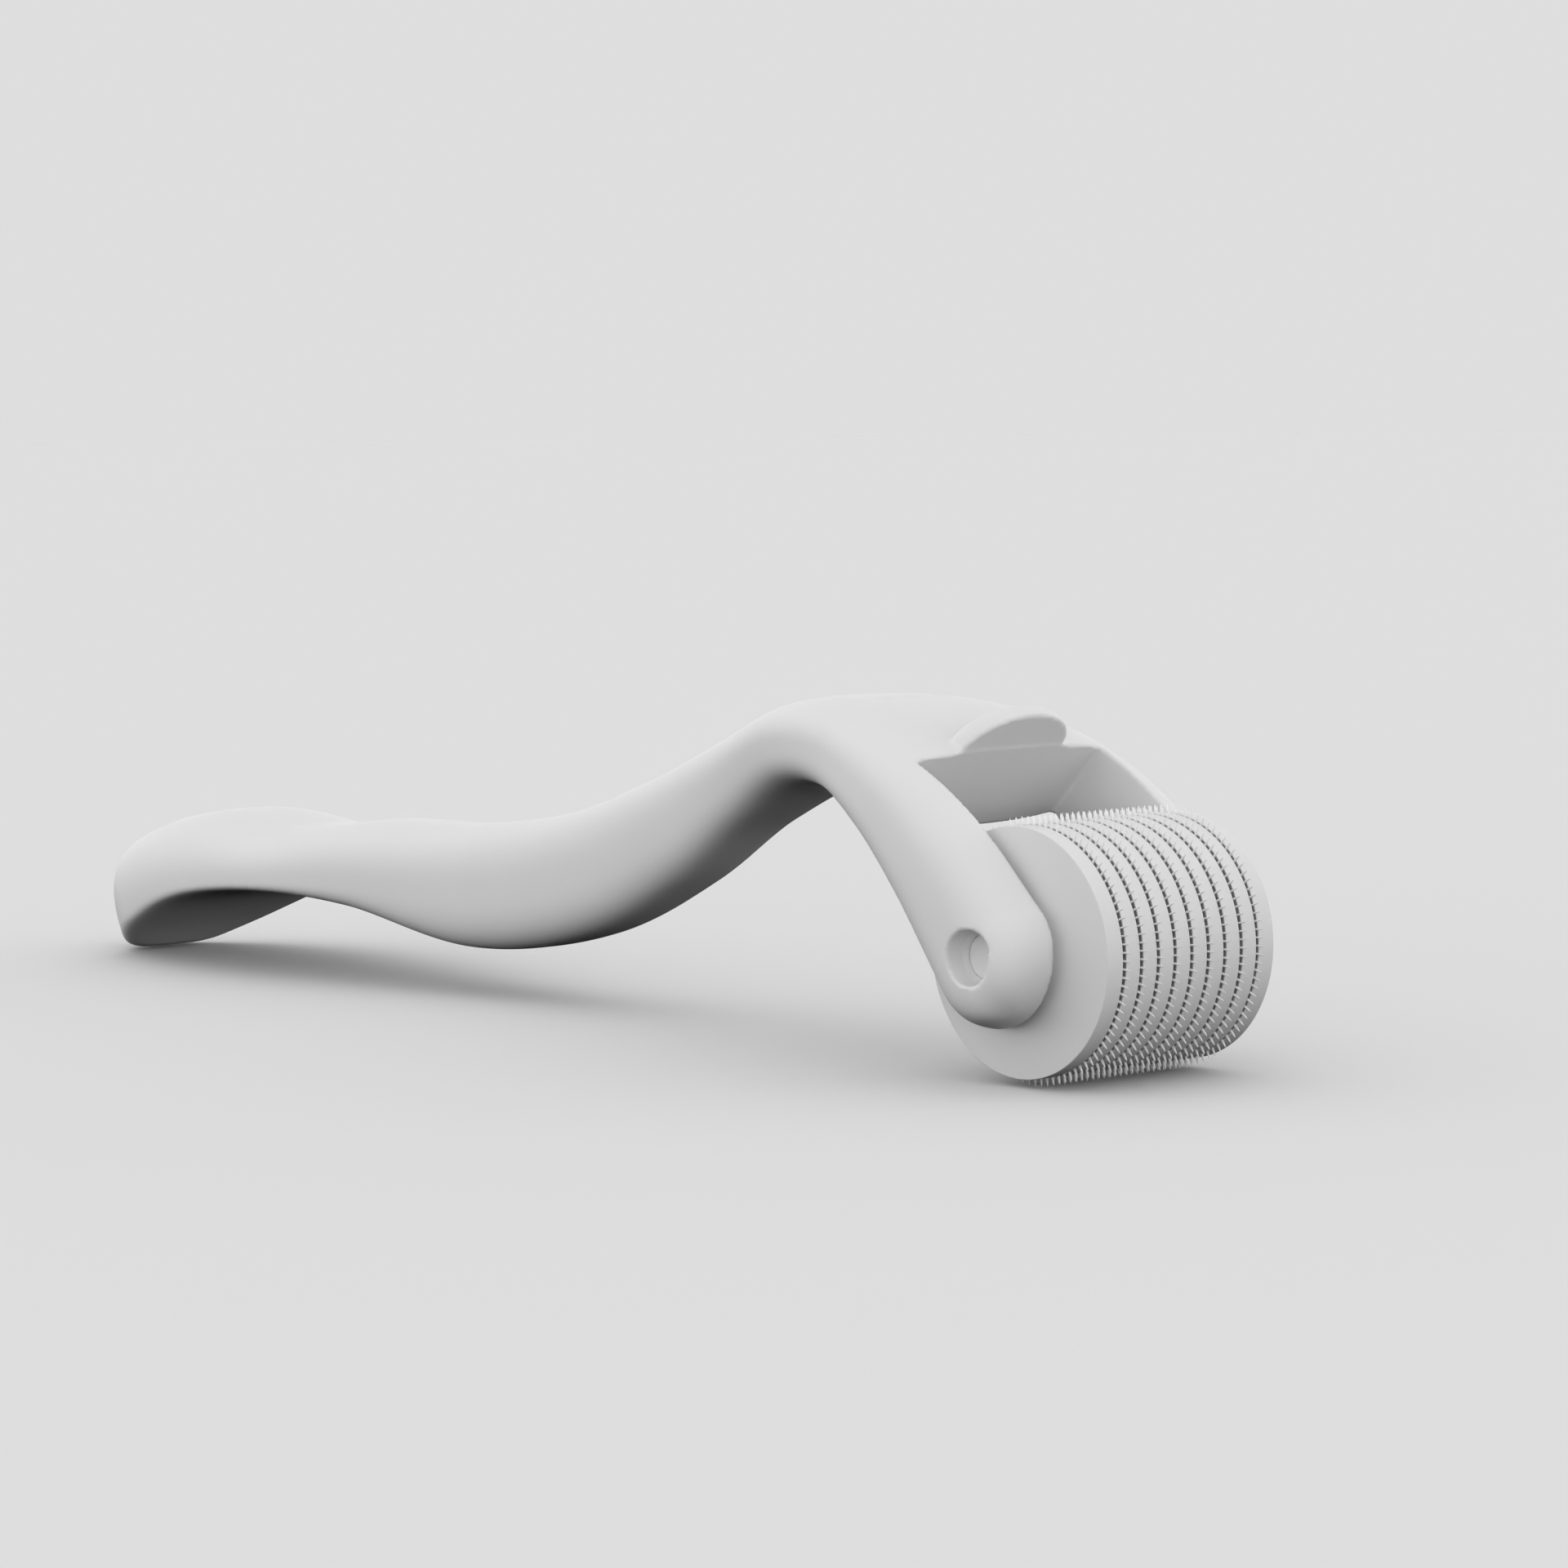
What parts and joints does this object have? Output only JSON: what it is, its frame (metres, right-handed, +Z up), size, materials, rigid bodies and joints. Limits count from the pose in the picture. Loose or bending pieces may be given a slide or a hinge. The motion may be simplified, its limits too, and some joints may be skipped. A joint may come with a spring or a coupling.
{
  "type": "derma roller",
  "caption": "Derma roller: curved one-piece handle with a forked head holding a free-turning drum of stacked needle discs, spacer rings and end caps on a keyed shaft.",
  "frame": {"origin": "on the surface that the object rests on, below the middle of its bounding box", "axes": "+X from the tail of the handle to the roller, +Y to the left arm along the axle, +Z up"},
  "size_m": [0.1462, 0.0298, 0.0294],
  "materials": {
    "handle": "fine matte moulded",
    "roller": "matte moulded",
    "shaft": "matte moulded",
    "needles": "pale satin"
  },
  "bodies": {
    "handle": {"handle": "handle"},
    "drum": {"drum_shaft": "shaft", "end_cap_left": "roller", "end_cap_right": "roller", "needle_disc_1": "needles", "needle_disc_2": "needles", "needle_disc_3": "needles", "needle_disc_4": "needles", "needle_disc_5": "needles", "needle_disc_6": "needles", "needle_disc_7": "needles", "needle_disc_8": "needles", "needle_disc_9": "needles", "spacer_ring_1": "roller", "spacer_ring_2": "roller", "spacer_ring_3": "roller", "spacer_ring_4": "roller", "spacer_ring_5": "roller", "spacer_ring_6": "roller", "spacer_ring_7": "roller", "spacer_ring_8": "roller"}
  },
  "joints": [
    {"name": "drum_spin", "type": "hinge", "parent": "handle", "child": "drum", "pos_m": [0.06241, 0, 0.01065], "axis": [0, 1, 0], "continuous": true}
  ]
}
